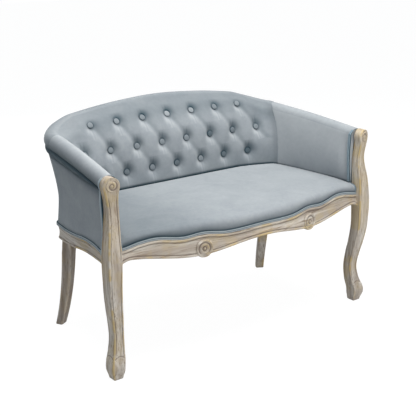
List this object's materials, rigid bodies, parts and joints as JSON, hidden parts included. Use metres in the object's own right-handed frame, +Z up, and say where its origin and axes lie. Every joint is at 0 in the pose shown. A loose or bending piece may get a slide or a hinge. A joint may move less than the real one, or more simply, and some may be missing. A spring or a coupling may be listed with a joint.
{
  "type": "tufted settee",
  "caption": "Two-seat settee with carved limed-wood legs and apron, tub-shaped velvet arms and a diamond-tufted inside back.",
  "frame": {"origin": "bottom centre of the whole piece, on the floor, midway between its sides and its front and back", "axes": "+Z up, +Y to the back, +X to the sitter's left"},
  "size_m": [1.12, 0.662, 0.771],
  "materials": {
    "limed_oak": "limed and waxed, matt",
    "frame_wood": "bare sawn",
    "velvet": "short-pile velvet",
    "velvet_trim": "short-pile velvet over cord",
    "webbing": "woven jute",
    "lining": "thin non-woven cloth"
  },
  "bodies": {
    "root": {"front_left_post": "limed_oak", "front_right_post": "limed_oak", "rear_left_leg": "limed_oak", "rear_right_leg": "limed_oak", "front_apron": "limed_oak", "left_apron": "limed_oak", "right_apron": "limed_oak", "rear_rail": "limed_oak", "corner_blocks": "frame_wood", "left_arm_rail": "frame_wood", "right_arm_rail": "frame_wood", "left_arm_slat": "frame_wood", "right_arm_slat": "frame_wood", "back_top_rail": "frame_wood", "back_slat": "frame_wood", "back_stile": "frame_wood", "seat_webbing": "webbing", "cross_webbing": "webbing", "dust_cover": "lining", "seat_cushion": "velvet", "inside_back": "velvet", "back_buttons": "velvet_trim", "left_inside_arm": "velvet", "right_inside_arm": "velvet", "left_arm_roll": "velvet", "right_arm_roll": "velvet", "back_roll": "velvet", "left_outside_arm": "velvet", "right_outside_arm": "velvet", "outside_back": "velvet", "seat_welt": "velvet_trim", "left_side_welt": "velvet_trim", "right_side_welt": "velvet_trim", "back_welt": "velvet_trim", "left_post_welt": "velvet_trim", "right_post_welt": "velvet_trim"}
  },
  "joints": []
}
